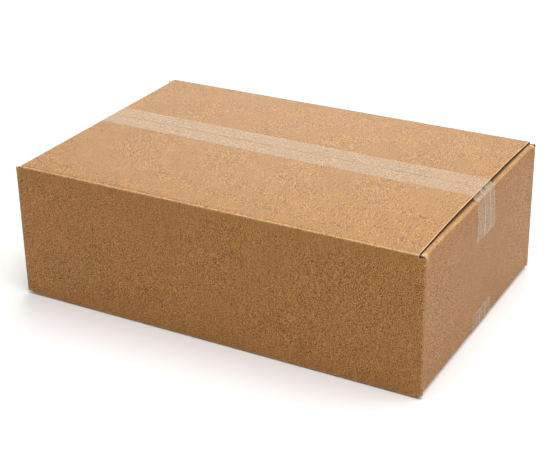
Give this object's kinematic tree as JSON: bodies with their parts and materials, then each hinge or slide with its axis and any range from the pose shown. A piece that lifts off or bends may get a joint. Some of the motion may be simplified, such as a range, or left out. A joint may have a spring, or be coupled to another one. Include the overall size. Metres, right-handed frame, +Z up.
{
  "type": "closed cardboard box",
  "caption": "Closed rectangular shipping box of folded corrugated board, its flaps shut flat and sealed with clear tape along the top and bottom seams.",
  "frame": {"origin": "on the ground, under the middle of the box", "axes": "+X along the length, -Y out of the front panel, +Z up"},
  "size_m": [0.4802, 0.312, 0.1602],
  "materials": {
    "corrugated_board": "matt brown kraft liner",
    "dried_glue": "dried starch or PVA glue",
    "clear_tape": "clear film, hazy over its adhesive"
  },
  "bodies": {
    "root": {"carton": "corrugated_board", "joint_glue": "dried_glue", "top_tape": "clear_tape", "bottom_tape": "clear_tape"}
  },
  "joints": []
}
